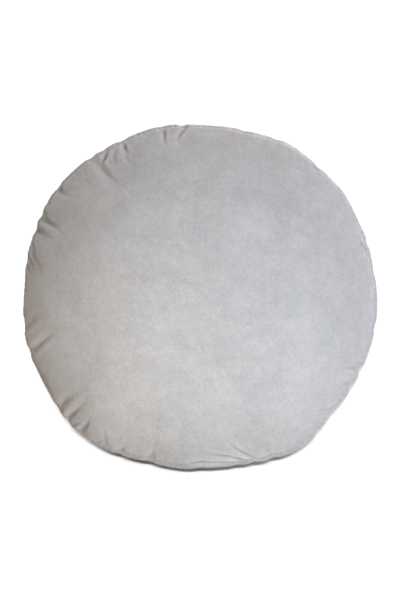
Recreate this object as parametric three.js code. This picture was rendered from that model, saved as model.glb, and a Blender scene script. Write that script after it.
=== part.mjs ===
// Round velvet cushion, lying on its back with its face up.
// Two round panels are sewn together all round with one plain seam, turned out and filled with
// loose fibre. The seam is shorter than the cloth that it holds, so the rim puckers.
import * as THREE from "three";

// Driving dimensions, in millimetres.
const OUTLINE_RADIUS = 223; // mean reach of the filled rim, before the stitches draw it in
const WIDEST_HEIGHT = 54; // the widest line of the rim, above the surface
const FACE_CROWN = 74; // rise of the face above the widest line
const REST_RADIUS = 112; // flat part of the back, pressed level by the cushion's weight
const SEAM_DRAW = 2.6; // how deep the stitches pull the seam into the rim
const SEAM_ROLL = 4; // half the width of that groove

// Powers of the two meridian curves: a higher flatness gives a flatter middle, and a lower
// rounding a fuller rim.
const FACE_FLATNESS = 2.5;
const FACE_ROUNDING = 0.72;
const BACK_FLATNESS = 2.1;
const BACK_ROUNDING = 0.7;

// The seam isn't level: it rides above the widest line on its high side and just below it on the
// other, and a fold of the back panel lifts it once more at the bottom of the outline. Lifts are
// degrees of sweep, and plan angles run anticlockwise from +X.
const SEAM_HIGH_AT = -8;
const SEAM_HIGH_LIFT = 14;
const SEAM_LOW_LIFT = -4;
const SEAM_BREADTH = 0.6; // below 1, the high side takes up more of the rim
const SEAM_FOLD = { at: 271, spread: 6, lift: 6 };

// Steps of the mesh.
const AROUND = 240;
const FACE_ROWS = 12;
const BACK_ROWS = 10;

// Swells and flats of the outline: where, half-width in degrees, and reach in millimetres.
const OUTLINE_SWELLS = [
  { at: 37, spread: 6, out: 2.2 },
  { at: 59, spread: 7, out: 2.7 },
  { at: 83, spread: 17, out: -4.3 },
  { at: 143, spread: 20, out: 4.9 },
  { at: 168, spread: 6, out: 2.3 },
  { at: 197, spread: 15, out: 5.9 },
  { at: 228, spread: 14.5, out: 10 },
  { at: 273, spread: 25, out: -3.8 },
  { at: 304, spread: 16.5, out: 9 },
  { at: 317, spread: 6.7, out: -3.9 },
  { at: 349, spread: 18, out: 3.5 },
];

// Puckers that start at the seam: where in degrees, how far they drift sideways on the way in, in
// degrees, and their run, half-width and depth in millimetres.
const PUCKERS = [
  { at: 8, drift: 0, run: 22, spread: 8, depth: 2 },
  { at: 17, drift: 2, run: 26, spread: 7, depth: 3 },
  { at: 47.5, drift: 0, run: 16, spread: 8, depth: 3 },
  { at: 64, drift: 0, run: 20, spread: 7, depth: 2.6 },
  { at: 75, drift: 0, run: 22, spread: 8, depth: 2.4 },
  { at: 95, drift: 3, run: 28, spread: 6, depth: 3.6 },
  { at: 102.5, drift: 1, run: 46, spread: 8, depth: 4.4 },
  { at: 116, drift: 1, run: 30, spread: 8, depth: 4.4 },
  { at: 123, drift: 2, run: 28, spread: 7, depth: 3.8 },
  { at: 128, drift: -0.5, run: 46, spread: 7, depth: 3.8 },
  { at: 142.5, drift: 1, run: 22, spread: 8, depth: 3 },
  { at: 152.5, drift: 1.5, run: 34, spread: 6.5, depth: 5 },
  { at: 157.5, drift: 1.5, run: 28, spread: 6.5, depth: 4.4 },
  { at: 168, drift: 2, run: 30, spread: 8, depth: 2.6 },
  { at: 189, drift: -4, run: 56, spread: 10, depth: 4 },
  { at: 198.5, drift: -5.5, run: 66, spread: 7, depth: 4.2 },
  { at: 218, drift: -0.5, run: 58, spread: 8, depth: 3.2 },
  { at: 223, drift: 0.3, run: 42, spread: 6.5, depth: 5 },
  { at: 229, drift: 0, run: 36, spread: 7, depth: 4.2 },
  { at: 243, drift: 0, run: 24, spread: 8, depth: 2.6 },
  { at: 253, drift: 0, run: 26, spread: 8, depth: 2.6 },
  { at: 270, drift: 0, run: 20, spread: 8, depth: 3 },
  { at: 284, drift: -10, run: 44, spread: 6.5, depth: 4.4 },
  { at: 289, drift: -7, run: 64, spread: 7, depth: 5 },
  { at: 295, drift: -1, run: 30, spread: 8, depth: 3.4 },
  { at: 312, drift: -3, run: 38, spread: 7, depth: 3 },
  { at: 319, drift: -3, run: 34, spread: 7, depth: 3 },
  { at: 329, drift: 0.5, run: 22, spread: 7, depth: 3.4 },
  { at: 335.5, drift: -1, run: 24, spread: 6.5, depth: 4 },
  { at: 350, drift: 0, run: 20, spread: 8, depth: 2.2 },
];
const BACK_SHARE = 0.8; // the back panel's puckers, as a share of the face's depth and run
const PUFF = 0.6; // how much the cloth beside a pucker stands proud
const SEAM_SHARE = 0.3; // a pucker's depth at the seam itself, as a share of its full depth

const { degToRad, euclideanModulo, lerp } = THREE.MathUtils;

// The smallest signed turn from one plan angle to another, in degrees.
function turn(from, to) {
  return euclideanModulo(to - from + 180, 360) - 180;
}

function bell(offset, spread) {
  return Math.exp(-((offset / spread) ** 2));
}

function outlineRadius(angle) {
  return OUTLINE_SWELLS.reduce(
    (reach, { at, spread, out }) => reach + out * bell(turn(at, angle), spread),
    OUTLINE_RADIUS,
  );
}

function seamSweep(angle) {
  const high = (0.5 + 0.5 * Math.cos(degToRad(angle - SEAM_HIGH_AT))) ** SEAM_BREADTH;
  const fold = SEAM_FOLD.lift * bell(turn(SEAM_FOLD.at, angle), SEAM_FOLD.spread);
  return 90 - lerp(SEAM_LOW_LIFT, SEAM_HIGH_LIFT, high) - fold;
}

// A point of the smooth filled body, as its reach from the axis and its height. Sweep 0 is the top
// of the crown, 90 the widest line and 180 the edge of the flat base.
function bodyPoint(angle, sweep) {
  const reach = outlineRadius(angle);
  if (sweep <= 90) {
    const tilt = degToRad(sweep);
    return new THREE.Vector2(
      reach * Math.sin(tilt) ** (2 / FACE_FLATNESS),
      WIDEST_HEIGHT + FACE_CROWN * Math.cos(tilt) ** (2 * FACE_ROUNDING),
    );
  }
  const tilt = degToRad(Math.min(sweep, 180) - 90);
  return new THREE.Vector2(
    REST_RADIUS + (reach - REST_RADIUS) * Math.max(Math.cos(tilt), 0) ** (2 / BACK_FLATNESS),
    WIDEST_HEIGHT * (1 - Math.sin(tilt) ** (2 * BACK_ROUNDING)),
  );
}

// The direction out of the cloth on that meridian.
function bodyNormal(angle, sweep) {
  const before = bodyPoint(angle, Math.max(sweep - 1, 0));
  const along = bodyPoint(angle, Math.min(sweep + 1, 180)).sub(before);
  return new THREE.Vector2(-along.y, along.x).normalize();
}

// Depth of the puckers at a point, given how far it lies from the seam on its own panel: deepest a
// little way in, gone at the end of the run, with the cloth puffed up on both sides.
function puckerDepth(angle, fromSeam, share) {
  let depth = 0;
  for (const { at, drift, run, spread, depth: deepest } of PUCKERS) {
    const along = fromSeam / (run * share);
    if (along >= 1) continue;
    const across = (degToRad(turn(at + drift * along, angle)) * OUTLINE_RADIUS) / spread;
    const fade = (SEAM_SHARE + 6 * along) * (1 - along) ** 3;
    depth += deepest * share * fade * (1 - PUFF * across ** 2) * bell(across, 1);
  }
  return depth;
}

// A point of the sewn cover: the filled body, drawn in at the seam and along the puckers.
function coverPoint(angle, sweep) {
  const seam = seamSweep(angle);
  const point = bodyPoint(angle, sweep);
  const fromSeam = point.distanceTo(bodyPoint(angle, seam));
  const share = sweep <= seam ? 1 : BACK_SHARE;
  const drawnIn = SEAM_DRAW * bell(fromSeam, SEAM_ROLL) + puckerDepth(angle, fromSeam, share);
  return point.addScaledVector(bodyNormal(angle, sweep), -drawnIn);
}

// The sweep of a row of points: rows count from the edge of the flat base up to the seam, and from
// there over the face to the top of the crown.
function rowSweep(angle, row) {
  const seam = seamSweep(angle);
  return row <= BACK_ROWS
    ? lerp(180, seam, row / BACK_ROWS)
    : lerp(seam, 0, (row - BACK_ROWS) / FACE_ROWS);
}

// The cover as one closed solid: a turned form, whose points are then moved onto the sewn cover.
function cushionGeometry() {
  const rows = BACK_ROWS + FACE_ROWS + 1;
  const meridian = Array.from({ length: rows }, (_, row) => bodyPoint(0, rowSweep(0, row)));
  const baseCentre = new THREE.Vector2(0, 0);
  const geometry = new THREE.LatheGeometry([baseCentre, ...meridian], AROUND, Math.PI / 2);
  geometry.rotateX(Math.PI / 2);
  const position = geometry.getAttribute("position");
  for (let column = 0; column <= AROUND; column++) {
    const angle = (360 * column) / AROUND;
    const across = new THREE.Vector2(Math.cos(degToRad(angle)), Math.sin(degToRad(angle)));
    for (let row = 0; row < rows; row++) {
      const { x: reach, y: height } = coverPoint(angle, rowSweep(angle, row));
      const index = column * (rows + 1) + row + 1;
      position.setXYZ(index, reach * across.x, reach * across.y, height);
    }
  }
  geometry.computeBoundingBox();
  const middle = geometry.boundingBox.getCenter(new THREE.Vector3());
  return geometry.translate(-middle.x, -middle.y, 0);
}

const velvet = new THREE.MeshStandardMaterial({ color: 0xb6b5b6, roughness: 0.95, metalness: 0 });
const cushion = new THREE.Mesh(cushionGeometry(), velvet);
cushion.name = "cushion";

const part = new THREE.Group();
part.add(cushion);

export default part;
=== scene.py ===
import bpy
import numpy as np
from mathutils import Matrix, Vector


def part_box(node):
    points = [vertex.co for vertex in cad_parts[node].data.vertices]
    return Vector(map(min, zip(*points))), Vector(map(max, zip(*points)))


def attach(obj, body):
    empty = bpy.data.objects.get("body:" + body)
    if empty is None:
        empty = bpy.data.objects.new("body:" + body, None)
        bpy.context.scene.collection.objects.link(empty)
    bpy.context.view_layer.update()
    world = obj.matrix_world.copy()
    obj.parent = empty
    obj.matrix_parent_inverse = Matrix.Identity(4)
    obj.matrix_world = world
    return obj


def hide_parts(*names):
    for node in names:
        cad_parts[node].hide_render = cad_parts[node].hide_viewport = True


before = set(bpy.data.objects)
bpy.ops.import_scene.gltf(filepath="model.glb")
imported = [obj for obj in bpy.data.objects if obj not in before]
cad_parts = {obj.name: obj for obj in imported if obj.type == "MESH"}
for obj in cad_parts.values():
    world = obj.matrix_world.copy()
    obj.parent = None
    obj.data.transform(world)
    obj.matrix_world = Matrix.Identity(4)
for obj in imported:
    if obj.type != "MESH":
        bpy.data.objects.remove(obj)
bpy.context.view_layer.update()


# Cushion cover
# Two round panels of light grey velvet, sewn face to face with one plain seam, turned out and
# filled with loose fibre. The seam is shorter than the cloth it holds, so the rim puckers.

MM = 0.001  # lengths of the cover are in millimetres until its mesh is made
TINY = 1e-9  # keeps a division by a length of zero from failing


def table(columns, rows):
    """Rows of numbers as an array whose columns are called by name."""
    return np.array(rows, [(column, float) for column in columns.split()])


def turn(start, end):
    """The turn from one plan angle to another: their difference, wrapped to half a turn either way."""
    return (end - start + 180) % 360 - 180


def bell(offset):
    """A bell curve that is one in its middle: e to the power of minus the offset squared."""
    return np.exp(-offset ** 2)


# The filled body, with the swells and flats of its outline: plan angle and spread in degrees, and how
# far out they stand.
low, high = (np.array(corner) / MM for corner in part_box("cushion"))
RIM_SHARE, WIDEST_SHARE = 0.987, 0.422  # of the solid's half width and of its height
RADIUS = RIM_SHARE * (high - low)[0] / 2  # mean reach of the filled rim, before the seam draws it in
WIDEST = WIDEST_SHARE * high[2]  # height of the widest line of the rim
CROWN = high[2] - WIDEST  # rise of the face above that line
REST = 112  # radius of the flat patch that the cushion rests on
FACE_FLATNESS, FACE_ROUNDING = 2.5, 0.72  # powers of the curve from the crown to the widest line
BACK_FLATNESS, BACK_ROUNDING = 2.1, 0.7  # powers of the curve from there to the flat patch
SWELLS = table("at spread out", [
    (18, 5, 2.2),
    (36, 7, 2.4),
    (59, 7, 2.7),
    (83, 19, -5.2),
    (122, 17, -2.4),
    (143, 20, 4.9),
    (168, 6, 2.3),
    (197, 15, 5.9),
    (228, 14.5, 10),
    (246, 8, -1.2),
    (272, 7, -1.4),
    (275, 25, -5),
    (304, 16.5, 9),
    (317, 6.7, -3.2),
    (329, 1.6, -0.8),
    (335.2, 1.4, -1.6),
    (349, 18, 3.5),
])


def outline(angle):
    """Reach of the rim by plan angle: the mean radius plus one bell for each swell or flat."""
    offset = turn(SWELLS["at"], angle[..., None]) / SWELLS["spread"]
    return RADIUS + (SWELLS["out"] * bell(offset)).sum(-1)


def body(angle, sweep):
    """Reach and height of the smooth filled body. Sweep 0 is the top of the crown, 90 the widest
    line, 180 the edge of the flat patch and 270 its middle. The first two quarters are parts of
    superellipses, powers of the sweep's sine and cosine, and the last is a straight line."""
    reach = outline(angle)
    up = np.radians(np.clip(sweep, 0, 90))
    down = np.radians(np.clip(sweep - 90, 0, 90))
    inwards = np.clip(1 - (sweep - 180) / 90, 0, 1)
    face_reach = reach * np.sin(up) ** (2 / FACE_FLATNESS)
    face_height = WIDEST + CROWN * np.cos(up).clip(0) ** (2 * FACE_ROUNDING)
    back_reach = REST + (reach - REST) * np.cos(down).clip(0) ** (2 / BACK_FLATNESS)
    back_height = WIDEST * (1 - np.sin(down) ** (2 * BACK_ROUNDING))
    on_face = sweep <= 90
    across = np.where(on_face, face_reach, np.where(sweep < 180, back_reach, REST * inwards))
    return np.stack([across, np.where(on_face, face_height, back_height)], -1)


# The seam's course, in degrees of sweep above the widest line: the plan angle at which it is hidden,
# its height there and where it shows, and the plan angles and spreads of the places where a panel
# pulls it up.
SEAM_HIDDEN_AT, SEAM_HIDDEN_LIFT, SEAM_SHOWN_LIFT = 188, -6, 8.5
SEAM_DIP = 5  # power that keeps the hidden part short
SEAM_PULLS = table("at spread lift", [
    (128, 12, 3.5),
    (252, 14, 5),
    (271, 6, 3),
])


def seam_sweep(angle):
    """Sweep of the seam: a level line that dips on its hidden side by a power of a raised cosine,
    plus one bell for each pull."""
    hidden = (0.5 + 0.5 * np.cos(np.radians(angle - SEAM_HIDDEN_AT))) ** SEAM_DIP
    offset = turn(SEAM_PULLS["at"], angle[..., None]) / SEAM_PULLS["spread"]
    pull = (SEAM_PULLS["lift"] * bell(offset)).sum(-1)
    return 90 - SEAM_SHOWN_LIFT + (SEAM_SHOWN_LIFT - SEAM_HIDDEN_LIFT) * hidden - pull


# Puckers at the seam: plan angle and sideways drift in degrees, then run, half-width and depth.
PUCKERS = table("at drift run spread depth", [
    (8, 0, 22, 8, 2),
    (17, 2, 26, 7, 1),
    (47.5, 0, 16, 8, 3),
    (64, 0, 20, 7, 2.6),
    (75, 0, 22, 8, 2.4),
    (95, 3, 28, 6, 3.6),
    (102.5, 1, 40, 8, 1.4),
    (116, 1, 30, 8, 2.2),
    (123, 2, 28, 7, 1.9),
    (128, -0.5, 46, 7, 2.4),
    (142.5, 1, 22, 8, 3),
    (152.5, 1.5, 34, 6.5, 5),
    (157.5, 1.5, 28, 6.5, 4.4),
    (168, 2, 30, 8, 2.6),
    (189, -4, 56, 10, 3.2),
    (198.5, -5.5, 62, 7, 3.2),
    (218, -0.5, 58, 8, 3.2),
    (223, 0.3, 42, 6.5, 5),
    (229, 0, 36, 7, 1.5),
    (243, 0, 24, 8, 2.6),
    (253, 0, 26, 8, 2.6),
    (270, 0, 20, 8, 3),
    (284, -10, 44, 6.5, 2.6),
    (289, -7, 64, 7, 3.2),
    (295, -1, 30, 8, 3.4),
    (312, -3, 38, 7, 3),
    (319, -3, 34, 7, 3),
    (329, 0.5, 22, 7, 3.4),
    (335.5, -1, 24, 6.5, 4),
    (350, 0, 20, 8, 2.2),
])
SEAM_SHARE = 0.3  # depth of a pucker at the seam itself, as a share
PUCKER_RISE, PUCKER_FADE = 6, 3  # how fast it deepens from there, and the power by which it fades
PUFF = 0.6  # how much the cloth beside a pucker stands proud


def pucker_depth(angle, from_seam, share):
    """Depth of all the puckers. Along each one it is a rising line times a power of what is left of
    the run. Across it, a bell is multiplied by one less a share of the offset squared, which puffs
    up the cloth on both sides."""
    along = (from_seam[..., None] / (PUCKERS["run"] * share[..., None])).clip(0, 1)
    sideways = np.radians(turn(PUCKERS["at"] + PUCKERS["drift"] * along, angle[..., None]))
    across = sideways * RADIUS / PUCKERS["spread"]
    fade = (SEAM_SHARE + PUCKER_RISE * along) * (1 - along) ** PUCKER_FADE
    valley = (1 - PUFF * across ** 2) * bell(across)
    return share * (PUCKERS["depth"] * fade * valley).sum(-1)


# Sharp creases in the face, near the rim: plan angle and sideways drift in degrees, the distances
# from the seam where they start and end, half-width, depth, and how far they bow sideways. A crease
# with a depth below zero stands up as a ridge.
CREASES = table("at drift start end width depth bow", [
    (3.5, -9.5, 11, 11.5, 1.6, -0.8, 0),
    (13, 7.3, 38, 52, 1.5, 0.8, 0),
    (13.6, -8, 6, 1, 1.6, -1.2, 0),
    (14.9, -2.4, 14, 12, 1.5, -1.2, 0),
    (16.6, -1.6, 8, 5, 1.5, 1.8, 0),
    (18.2, -1.6, 12, 9, 1.5, 1.6, 0),
    (20, -4.4, 11, 1, 1.5, -1.4, 0),
    (24.5, -7, 8, 9, 1.6, -1.3, 0),
    (62.5, 0, 4, 16, 2, 1, 0),
    (69.5, 1, 3, 14, 1.8, 0.8, 0),
    (76, -1, 3, 15, 1.8, 0.8, 0),
    (94.5, 3.6, 2, 30, 1.6, 2.8, 1),
    (102.2, 1, 5, 32, 1.8, 2.4, -1),
    (116.4, 0.5, 4, 28, 2, 2.5, 1),
    (117.2, 1.5, 24, 44, 2, 1, 0),
    (123, 4, 3, 21, 1.8, 3.8, -1),
    (119.8, 3.2, 10, 32, 2, 1.8, 1),
    (127.4, 0.6, 16, 58, 3.4, 1.1, -1),
    (142.5, 1, 0, 18, 2.4, 2.1, 0),
    (153.6, 0.4, 6, 44, 2, 2, 1),
    (157.6, 0.8, 1, 28, 1.8, 2.1, -1),
    (162, 5, 6, 24, 1.3, 1.6, 0),
    (164.5, 5, 10, 32, 1.5, 1.8, 1),
    (167, 5.5, 6, 28, 1.3, 1.6, 1),
    (169.5, 4, 3, 20, 1.5, 1.8, -1),
    (191.2, -4, 2, 30, 3.2, 1.8, 2),
    (198.4, -5.2, 10, 56, 3, 1.5, 3),
    (218.8, -0.4, 6, 48, 2.8, 1.2, -2),
    (222.6, -0.3, 1, 40, 1.8, 2.2, 2),
    (225.5, 1.5, 4, 20, 1.6, 1.8, -1),
    (228.4, 0.2, 4, 35, 2, 1.6, 1),
    (243, 0, 2, 16, 2.2, 1.2, 0),
    (253, 0.5, 2, 18, 2.2, 1.2, 0),
    (266, 9, 2, 2.5, 2.4, 3.4, 0),
    (273.5, 8, 1, 1.5, 3, 4.2, 0),
    (288.5, 14, 1.5, 2, 2, 3.2, 0),
    (287.6, -16, 0, 22, 1.8, 3.2, 5),
    (288.9, -9, 2, 46, 1.8, 2.4, 1),
    (293.7, 0, 8, 26, 2.4, 1.4, 0),
    (316.8, -3.6, 6, 26, 1.4, 1.2, 1),
    (318.8, -4, 2, 30, 1.4, 1.4, 1),
    (329, -1, 0, 24, 1.6, 1.1, 1),
    (335.2, -2.6, 0, 34, 1.6, 1.3, 2),
])
CREASE_BOTTOM = 1  # radius of the cloth at the bottom of a crease
CREASE_SKEW, CREASE_BREADTH = 0.6, 0.8  # powers: a crease is deepest near its start, and fades late
LIP = 0.3  # how far the cloth stands up on each side of a crease, as a share of its depth
LIP_AT, LIP_SPREAD = 2.5, 1.4  # where it does so and how broadly, in half-widths of the crease


def sharp_valley(across, rounding):
    """A valley one deep, with even sides and a round bottom: e to the power of the rounding less the
    hypotenuse of the rounding and the distance across."""
    return np.exp(rounding - np.hypot(across, rounding))


def crease_depth(angle, from_seam):
    """Depth of all the creases. Each follows a line on the cloth laid out round the seam, bowed by a
    parabola. Across it lies a sharp valley between two bells, which are its raised lips. Along it
    the depth is a power of half a sine wave, skewed towards its start."""
    around = np.radians(turn(CREASES["at"], angle[..., None])) * RADIUS
    inwards = from_seam[..., None] - CREASES["start"]
    reach_in = CREASES["end"] - CREASES["start"]
    drift = np.radians(CREASES["drift"]) * RADIUS
    length = np.hypot(drift, reach_in)
    along = ((around * drift + inwards * reach_in) / length ** 2).clip(0, 1)
    bow = 4 * CREASES["bow"] * along * (1 - along)
    across = ((around * reach_in - inwards * drift) / length - bow) / CREASES["width"]
    valley = sharp_valley(across, CREASE_BOTTOM / CREASES["width"])
    lips = bell((across - LIP_AT) / LIP_SPREAD) + bell((across + LIP_AT) / LIP_SPREAD)
    fade = np.sin(np.pi * along ** CREASE_SKEW).clip(0) ** CREASE_BREADTH
    return (CREASES["depth"] * fade * (valley - LIP * lips)).sum(-1)


LUMPS, LUMP_SPAN, LUMP_HEIGHT, LUMP_SEED = 6, (70, 130), 0.3, 4  # slight lumps of the filling


def lump_height(across, up):
    """Height of the filling's lumps: the sum of a few sine waves that cross at chance angles."""
    chance = np.random.default_rng(LUMP_SEED)
    heading = chance.uniform(0, 2 * np.pi, LUMPS)
    span = chance.uniform(*LUMP_SPAN, LUMPS)
    start = chance.uniform(0, 2 * np.pi, LUMPS)
    along = across[..., None] * np.cos(heading) + up[..., None] * np.sin(heading)
    return LUMP_HEIGHT * np.sin(2 * np.pi * along / span + start).sum(-1)


COLUMNS = 500  # points round the cover while it is filled, doubled afterwards
FACE_ROWS, BACK_ROWS, REST_ROWS = 28, 18, 2  # rows of points while it is filled, doubled afterwards
BACK_SHARE = 0.8  # depth and run of a pucker on the back, as a share of those on the face
SEAM_DRAW, SEAM_ROLL = 1, 4  # depth and half-width of the seam's groove
SEAM_LINE, SEAM_LINE_DEPTH = 1.4, 0.5  # the sharp line at the bottom of that groove
EDGE_ROLL, EDGE_ROLL_OUT = 4.5, 1.8  # the back panel rolls out a little beside the seam
EDGE_BACK, EDGE_FACE = 8, 2.6  # reach of the sewn edge's painted highlight and painted shade onto the back and onto the face
GATHERS, GATHER_RUN, GATHER_DEPTH = 187, 7, 0.25  # small gathers held by the stitches
GATHER_WAVES, GATHER_SHIFT = 7, 2  # they crowd and part in waves round the rim, by so many radians


def cover(columns, rows, finished):
    """Points of the sewn cover on a grid of rows by columns, the depth of its sharp folds, and how
    far each point belongs to the sewn edge. The filled body is moved along its normal by the seam's
    groove, the roll and the puckers, and where it is finished by folds, gathers and lumps too."""
    column = np.arange(columns) * 360 / columns
    angle, row = np.meshgrid(column, rows)
    seam = seam_sweep(angle)
    face_part = row / FACE_ROWS
    back_part = (row - FACE_ROWS) / BACK_ROWS
    rest_part = (row - FACE_ROWS - BACK_ROWS) / REST_ROWS
    past_seam = np.where(back_part <= 1, seam + (180 - seam) * back_part, 180 + 90 * rest_part)
    sweep = np.where(face_part <= 1, seam * face_part, past_seam)
    point = body(angle, sweep)
    # The normal stands square to a step of two degrees along the sweep.
    step = body(angle, (sweep + 1).clip(0, 180)) - body(angle, (sweep - 1).clip(0, 180))
    normal = np.stack([-step[..., 1], step[..., 0]], -1)
    normal /= np.linalg.norm(normal, axis=-1, keepdims=True).clip(TINY)
    from_seam = np.linalg.norm(point - body(angle, seam), axis=-1)
    share = np.where(face_part <= 1, 1.0, BACK_SHARE)
    drawn_in = SEAM_DRAW * bell(from_seam / SEAM_ROLL) + pucker_depth(angle, from_seam, share)
    rolled = from_seam / EDGE_ROLL * np.exp(1 - from_seam / EDGE_ROLL)
    drawn_in -= np.where(face_part > 1, EDGE_ROLL_OUT * rolled, 0)
    at_edge = np.where(face_part > 1, bell((from_seam / EDGE_BACK) ** 2), bell(from_seam / EDGE_FACE))
    radians = np.radians(angle)
    folds = np.zeros_like(angle)
    if finished:
        folds += SEAM_LINE_DEPTH * sharp_valley(from_seam / SEAM_LINE, CREASE_BOTTOM / SEAM_LINE)
        folds += np.where(face_part < 1, crease_depth(angle, from_seam), 0)
        ripple = np.cos(GATHERS * radians + GATHER_SHIFT * np.sin(GATHER_WAVES * radians))
        drawn_in += folds + GATHER_DEPTH * ripple * bell(from_seam / GATHER_RUN)
        drawn_in -= lump_height(point[..., 0] * np.cos(radians), point[..., 0] * np.sin(radians))
    drawn_in = np.where(sweep < 180, drawn_in, 0)
    reach, height = np.moveaxis(point - drawn_in[..., None] * normal, -1, 0)
    return np.stack([reach * np.cos(radians), reach * np.sin(radians), height], -1), folds, at_edge


def by_vertex(grid):
    """The values of a grid in the order of the mesh's vertices: one for its first row, all of those
    between, and one for its last row."""
    return np.concatenate([grid[:1, 0], grid[1:-1].reshape(-1, *grid.shape[2:]), grid[-1:, 0]])


def closed_mesh(name, points):
    """A mesh from a grid whose first and last rows each shrink to one point: quads between the
    rows, and a fan of triangles at each pole."""
    rows, columns = points.shape[:2]
    vertices = by_vertex(points) * MM
    index = 1 + np.arange((rows - 2) * columns).reshape(rows - 2, columns)
    beside = np.roll(index, -1, axis=1)
    quads = np.stack([index[:-1], index[1:], beside[1:], beside[:-1]], -1).reshape(-1, 4)
    top = np.stack([np.zeros(columns, int), index[0], beside[0]], -1)
    base = np.stack([np.full(columns, len(vertices) - 1), beside[-1], index[-1]], -1)
    mesh = bpy.data.meshes.new(name)
    mesh.from_pydata(vertices.tolist(), [], quads.tolist() + top.tolist() + base.tolist())
    mesh.update()
    return mesh


def doubled(values, axis, wraps):
    """Twice the points along one axis, each new one by the four-point rule: nine sixteenths of
    each near neighbour less one sixteenth of each far one."""
    values = np.moveaxis(values, axis, 0)
    edge = "wrap" if wraps else "edge"
    padded = np.pad(values, [(1, 2)] + [(0, 0)] * (values.ndim - 1), edge)
    middle = (9 * (padded[1:-2] + padded[2:-1]) - padded[:-3] - padded[3:]) / 16
    both = np.stack([values, middle], 1).reshape(-1, *values.shape[1:])
    return np.moveaxis(both if wraps else both[:-1], 0, axis)


WEIGHT_LEVELS = 20  # steps that the weights of a vertex group are rounded to


def weighted(piece, name, weights):
    """A vertex group of a piece, from one weight for each vertex, added one level at a time."""
    group = piece.vertex_groups.new(name=name)
    levels = np.rint(weights * WEIGHT_LEVELS).astype(int)
    for level in range(1, WEIGHT_LEVELS + 1):
        group.add(np.flatnonzero(levels == level).tolist(), level / WEIGHT_LEVELS, "REPLACE")
    return group.name


SLACK, SLACK_RUN, SLACK_SPREAD = 0.1, 40, 7  # share of spare cloth, its run and its spread in degrees
SHALLOW = 2  # a pucker of this depth or less has no spare cloth
FILLING_STEPS = 30  # frames that the cloth is simulated for
STILL_REACH, MOST_MOVED = 50, 9  # radius of the middle that stays still, and the furthest movement


def filled(points):
    """Movement of each point as the cover is filled: Blender's cloth with pressure inside, held at
    the seam and on the flat patch, with more slack round the deeper puckers. The mean movement of
    each row is taken off again, so that the cushion keeps its size. The rest fades to nothing in
    the middle and is capped."""
    mesh = closed_mesh("cover_before_filling", points)
    cover_before = bpy.data.objects.new("cover_before_filling", mesh)
    bpy.context.scene.collection.objects.link(cover_before)
    rows, columns = points.shape[:2]
    at_seam = np.arange(rows) == FACE_ROWS
    on_patch = np.arange(rows) >= FACE_ROWS + BACK_ROWS
    held = np.broadcast_to((at_seam | on_patch)[:, None], (rows, columns)).astype(float)
    angle = np.arange(columns) * 360 / columns
    deep = ((PUCKERS["depth"] - SHALLOW) / (PUCKERS["depth"].max() - SHALLOW)).clip(0, 1)
    crowded = (deep * bell(turn(PUCKERS["at"], angle[:, None]) / SLACK_SPREAD)).max(-1)
    slack = crowded * bell(np.linalg.norm(points - points[FACE_ROWS], axis=-1) / SLACK_RUN)

    cloth = cover_before.modifiers.new("cloth", "CLOTH")
    cloth.collision_settings.use_collision = False
    settings = cloth.settings
    settings.quality = 8
    settings.mass = 0.3
    settings.tension_stiffness = 25
    settings.compression_stiffness = 25
    settings.shear_stiffness = 10
    settings.bending_stiffness = 0.2
    settings.use_pressure = True
    settings.uniform_pressure_force = 8
    settings.effector_weights.gravity = 0
    settings.vertex_group_mass = weighted(cover_before, "held", by_vertex(held))
    settings.vertex_group_shrink = weighted(cover_before, "slack", by_vertex(slack))
    settings.shrink_min = 0
    settings.shrink_max = -SLACK
    for step in range(1, FILLING_STEPS + 1):
        bpy.context.scene.frame_set(step)
    after = cover_before.evaluated_get(bpy.context.evaluated_depsgraph_get()).to_mesh()
    places = np.empty(len(after.vertices) * 3)
    after.vertices.foreach_get("co", places)
    places = places.reshape(-1, 3) / MM
    bpy.context.scene.frame_set(1)
    bpy.data.objects.remove(cover_before)
    bpy.data.meshes.remove(mesh)

    moved = np.zeros_like(points)
    moved[1:-1] = places[1:-1].reshape(rows - 2, columns, 3) - points[1:-1]
    outwards = np.stack([np.cos(np.radians(angle)), np.sin(np.radians(angle)), 0 * angle], -1)
    moved -= (moved * outwards).sum(-1).mean(1)[:, None, None] * outwards
    moved[..., 2] -= moved[..., 2].mean(1)[:, None]
    reach = np.linalg.norm(points[..., :2], axis=-1)
    on_rim = ((reach - STILL_REACH) / (REST - STILL_REACH)).clip(0, 1)[..., None]
    moved *= on_rim ** 2 * (3 - 2 * on_rim)  # a smooth step from the still middle to the rim
    length = np.linalg.norm(moved, axis=-1, keepdims=True).clip(TINY)
    return moved * np.minimum(1, MOST_MOVED / length)


rows = np.arange(FACE_ROWS + BACK_ROWS + REST_ROWS + 1.0)
before = cover(COLUMNS, rows, False)[0]
moved = filled(before)
fine_rows = np.arange(2 * len(rows) - 1) / 2
points, folds, at_edge = cover(2 * COLUMNS, fine_rows, True)
points += doubled(doubled(moved, 0, False), 1, True)
# The cover is centred again, and nothing of it reaches below the surface.
middle = (points.max((0, 1)) + points.min((0, 1))) / 2
points -= np.array([middle[0], middle[1], 0])
points[..., 2] = points[..., 2].clip(0)
cushion = bpy.data.objects.new("velvet_cushion", closed_mesh("velvet_cushion", points))
bpy.context.scene.collection.objects.link(cushion)
cushion.data.shade_smooth()
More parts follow.
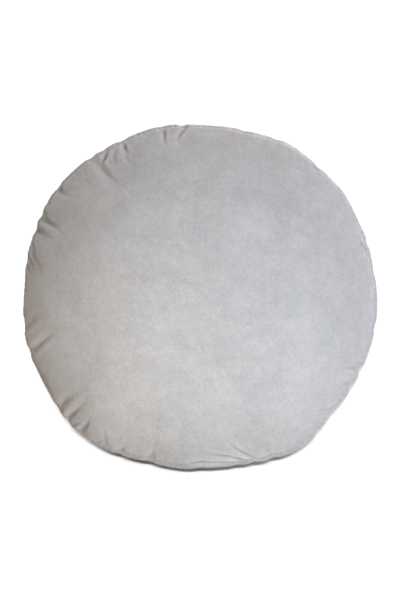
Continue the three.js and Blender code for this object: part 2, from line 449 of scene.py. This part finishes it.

# Painted light and shade in the velvet's colour: painted shade on slopes that face away from one side,
# a painted highlight on slopes that face it and on the ridges beside creases, and painted shade
# underneath.
# Along the sewn edge there is a painted highlight on one side and painted shade on another. Three
# attributes hold the painted shade, the painted shade deep in folds, and the painted highlight.
PAINTED_LIGHT_AT, EDGE_HIGHLIGHT_AT, EDGE_SHADE_AT = 19, 68, 255  # plan angles of those sides, in degrees
SIDE_SHADE, EDGE_SHADE, UNDER_SHADE = 2.1, 0.3, 1.4  # painted shade on the side facing away, along the edge and underneath
SIDE_HIGHLIGHT, EDGE_HIGHLIGHT, RIDGE_HIGHLIGHT = 0.18, 1.1, 0.4  # painted highlight on the side facing, along the edge and on the ridges
SHADE_POWER, HIGHLIGHT_POWER, EDGE_HIGHLIGHT_POWER = 5, 4, 3  # the higher, the steeper a slope has to be
UNSHADED_FOLD, DEEP_FOLD = 0.4, 4.2  # between these depths a fold gets painted shade, from none to full
normals = np.empty(len(cushion.data.vertices) * 3)
cushion.data.vertex_normals.foreach_get("vector", normals)
normals = normals.reshape(-1, 3)
sides = np.radians([PAINTED_LIGHT_AT, EDGE_HIGHLIGHT_AT, EDGE_SHADE_AT])
towards, facing_edge_highlight, facing_edge_shade = (normals[:, :2] @ [np.cos(sides), np.sin(sides)]).T
# How deep in a fold each point lies, for the painted shade in folds and on the seam line.
crease_shade_share = by_vertex((folds - UNSHADED_FOLD) / (DEEP_FOLD - UNSHADED_FOLD))
edge = by_vertex(at_edge)
# Painted shade on slopes facing away from the first side, along the edge on the third side, and
# underneath.
closed = SIDE_SHADE * (-towards).clip(0) ** SHADE_POWER + EDGE_SHADE * edge * facing_edge_shade.clip(0)
closed += UNDER_SHADE * (-normals[:, 2]).clip(0)
# Painted highlight on slopes facing the first side, along the edge on the second side, and on ridges.
painted_highlight_share = SIDE_HIGHLIGHT * towards.clip(0) ** HIGHLIGHT_POWER + EDGE_HIGHLIGHT * edge * facing_edge_highlight.clip(0) ** EDGE_HIGHLIGHT_POWER
painted_highlight_share += RIDGE_HIGHLIGHT * by_vertex(-folds).clip(0)
for name, share in {"closed": closed, "folded": crease_shade_share, "open": painted_highlight_share}.items():
    attribute = cushion.data.attributes.new(name, "FLOAT", "POINT")
    attribute.data.foreach_set("value", share.clip(0, 1))


def linear(colour):
    """The linear red, green, blue and alpha of an sRGB hex colour: a straight line for the darkest
    values, and a power of 2.4 for the rest."""
    srgb = np.array([int(colour[i:i + 2], 16) for i in (1, 3, 5)]) / 255
    return *np.where(srgb <= 0.04045, srgb / 12.92, ((srgb + 0.055) / 1.055) ** 2.4), 1.0


def add(tree, kind, inputs, **settings):
    """Adds one shader node: its settings by name, and each input as a value or as a linked output."""
    node = tree.nodes.new("ShaderNode" + kind)
    for name, value in settings.items():
        setattr(node, name, value)
    for name, value in inputs.items():
        if isinstance(value, bpy.types.NodeSocket):
            tree.links.new(value, node.inputs[name])
        else:
            node.inputs[name].default_value = value
    return node


# Short-pile cotton velvet: a woven ground with a dense cut pile about a millimetre high, so it has
# no gloss and is a little lighter at a glancing angle. The pile leans differently from place to
# place, which gives soft clouds of lighter and darker, warmer and cooler grey.
CLOUD, TINT = 70, 26  # sizes of the lighter and of the warmer clouds, in mm
TUFT = 1.5  # size of a tuft in mm; a real one is finer, and it is drawn coarse enough to show
TUFT_STRETCH = 0.75  # scale of the tufts up and down the face, which makes them a third longer there
TUFT_SHARE, TUFT_DEPTH = 0.46, 0.5  # how much they count beside the clouds, and their depth in mm
velvet = bpy.data.materials.new("velvet")
velvet.use_nodes = True
tree = velvet.node_tree
place = add(tree, "TexCoord", {}).outputs["Object"]
lean = add(tree, "TexNoise", {"Vector": place, "Scale": 1 / (CLOUD * MM), "Detail": 6, "Roughness": 1})
nap = add(tree, "Mapping", {"Vector": place, "Scale": (1, TUFT_STRETCH, 1)})
tuft = add(tree, "TexNoise", {"Vector": nap.outputs[0], "Scale": 1 / (TUFT * MM), "Detail": 1})
grain = add(tree, "Math", {0: tuft.outputs["Fac"], 1: TUFT_SHARE, 2: lean.outputs["Fac"]},
            operation="MULTIPLY_ADD")
shade = add(tree, "MapRange", {"Value": grain.outputs[0], "From Min": 0.53, "From Max": 0.93})
tint = add(tree, "TexNoise", {"Vector": place, "Scale": 1 / (TINT * MM), "Detail": 1})
warmth = add(tree, "MapRange", {"Value": tint.outputs["Fac"], "From Min": 0.35, "From Max": 0.65})
cool = add(tree, "Mix", {"Factor": shade.outputs[0], 6: linear("#a3a3a5"), 7: linear("#bdbdbf")},
           data_type="RGBA")
warm = add(tree, "Mix", {"Factor": shade.outputs[0], 6: linear("#a4a3a3"), 7: linear("#bebdbd")},
           data_type="RGBA")
pile = add(tree, "Mix", {"Factor": warmth.outputs[0], 6: cool.outputs[2], 7: warm.outputs[2]},
           data_type="RGBA")
# The warm painted shade, the grey painted shade in folds, and the painted highlight.
for name, shown in {"closed": "#81766f", "folded": "#6b6a6b", "open": "#e0e0e2"}.items():
    share = add(tree, "Attribute", {}, attribute_name=name).outputs["Fac"]
    pile = add(tree, "Mix", {"Factor": share, 6: pile.outputs[2], 7: linear(shown)}, data_type="RGBA")
bump = add(tree, "Bump", {"Strength": 1, "Distance": TUFT_DEPTH * MM, "Height": tuft.outputs["Fac"]})
shader = tree.nodes["Principled BSDF"]
tree.links.new(pile.outputs[2], shader.inputs["Base Color"])
tree.links.new(bump.outputs["Normal"], shader.inputs["Normal"])
shader.inputs["Roughness"].default_value = 0.95
shader.inputs["Specular IOR Level"].default_value = 0.2
shader.inputs["Sheen Weight"].default_value = 0.3
shader.inputs["Sheen Roughness"].default_value = 0.5
cushion.data.materials.append(velvet)
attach(cushion, "root")
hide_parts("cushion")


# Floor and backdrop
# A plain white floor that the cushion lies on, and a round studio wall far behind it, lit evenly.
# The wall only shows: it lights nothing and throws no shadow.

STUDIO, STUDIO_SIDES = 14.0, 96  # reach of the floor and the wall in metres, and sides of their ring
WHITE = "#f2f2f2"


def studio_surface(name, points, faces, glow):
    """A white stage mesh from its points and faces, which gives off light of the given strength."""
    mesh = bpy.data.meshes.new(name)
    mesh.from_pydata(points.tolist(), [], faces.tolist())
    surface = bpy.data.objects.new(name, mesh)
    bpy.context.scene.collection.objects.link(surface)
    paint = bpy.data.materials.new("white_" + name)
    paint.use_nodes = True
    shader = paint.node_tree.nodes["Principled BSDF"]
    shader.inputs["Base Color"].default_value = linear(WHITE)
    shader.inputs["Roughness"].default_value = 1
    shader.inputs["Specular IOR Level"].default_value = 0
    shader.inputs["Emission Color"].default_value = linear("#ffffff")
    shader.inputs["Emission Strength"].default_value = glow
    mesh.materials.append(paint)
    return surface


around = np.linspace(0, 2 * np.pi, STUDIO_SIDES + 1)[:-1]
ring = np.stack([STUDIO * np.cos(around), STUDIO * np.sin(around), 0 * around], -1)
index = np.arange(STUDIO_SIDES)
beside = np.roll(index, -1)
floor = studio_surface("floor", ring, index[None], 0)
wall_faces = np.stack([index, index + STUDIO_SIDES, beside + STUDIO_SIDES, beside], -1)
wall = studio_surface("wall", np.concatenate([ring, ring + [0, 0, STUDIO]]), wall_faces, 1)
wall.visible_diffuse = wall.visible_glossy = wall.visible_shadow = False


# Light
# Softboxes over the cushion and beside it light the velvet alone. Far lamps light the floor alone: a
# strip of small ones and a wide one overhead, on the far side, so that a thin shadow falls below the
# cushion in the picture, darkest at the lower left, and two lower ones that lighten it.

lit = {}  # what a lamp may light
for name, piece in {"velvet": cushion, "floor": floor}.items():
    lit[name] = bpy.data.collections.new("lit_" + name)
    lit[name].objects.link(piece)


def lamp(name, kind, lights, place, strength, colour, **settings):
    """A lamp at a place in metres, turned to the cushion, that lights one thing only."""
    light = bpy.data.lights.new(name, kind)
    light.energy = strength
    light.color = linear(colour)[:3]
    for setting, value in settings.items():
        setattr(light, setting, value)
    holder = bpy.data.objects.new(name, light)
    holder.location = place
    aim = Vector((0, 0, WIDEST * MM)) - holder.location
    holder.rotation_euler = aim.to_track_quat("-Z", "Y").to_euler()
    holder.visible_camera = False
    holder.light_linking.receiver_collection = lit[lights]
    bpy.context.scene.collection.objects.link(holder)


lamp("overhead", "AREA", "velvet", (-0.11, -0.17, 0.70), 3.88, "#fff0d6", size=0.4)
lamp("fill", "AREA", "velvet", (0.15, -0.10, 0.75), 2.16, "#8ec6ff", size=0.4)
lamp("side", "AREA", "velvet", (0.48, -0.36, 0.40), 1.8, "#fffcfa", size=0.3)
lamp("rim", "AREA", "velvet", (0.88, 1.76, 0.41), 31, "#fff6f3", size=1.2)
lamp("bounce", "AREA", "velvet", (-1.1, -0.25, 0.12), 0.6, "#ff8a4d", size=0.5)
for across in (-0.16, -0.08, 0, 0.08, 0.16):
    lamp("floor_strip", "SUN", "floor", (across, 0.39, 2.0), 0.6, "#ffffff", angle=np.radians(2))
lamp("floor_wash", "SUN", "floor", (0.2, 0.55, 2.0), 0.65, "#ffffff", angle=np.radians(30))
lamp("floor_left", "SUN", "floor", (-1.0, 1.2, 1.5), 0.6, "#ffffff", angle=np.radians(40))
lamp("floor_right", "SUN", "floor", (1.54, 0.27, 1.5), 0.6, "#ffffff", angle=np.radians(40))
studio = bpy.data.worlds.new("studio")
studio.color = (0, 0, 0)
bpy.context.scene.world = studio
bpy.context.scene.view_settings.view_transform = "Standard"


# Camera
# A long lens straight above the face, far enough away for the photo's scale at the widest line. It
# is moved by a few pixels, so that the outline lands where it does in the photo.

PIXEL = 1.2665 * MM  # length of one pixel of the photo, in metres
PICTURE_HEIGHT = 601  # in pixels
SHIFT_RIGHT, SHIFT_UP = 0.1, -4.1  # of the camera, in pixels
camera = bpy.data.cameras.new("camera")
camera.lens = 85
camera_object = bpy.data.objects.new("camera", camera)
distance = PICTURE_HEIGHT * PIXEL * camera.lens / camera.sensor_width
camera_object.location = (SHIFT_RIGHT * PIXEL, SHIFT_UP * PIXEL, distance + WIDEST * MM)
bpy.context.scene.collection.objects.link(camera_object)
bpy.context.scene.camera = camera_object
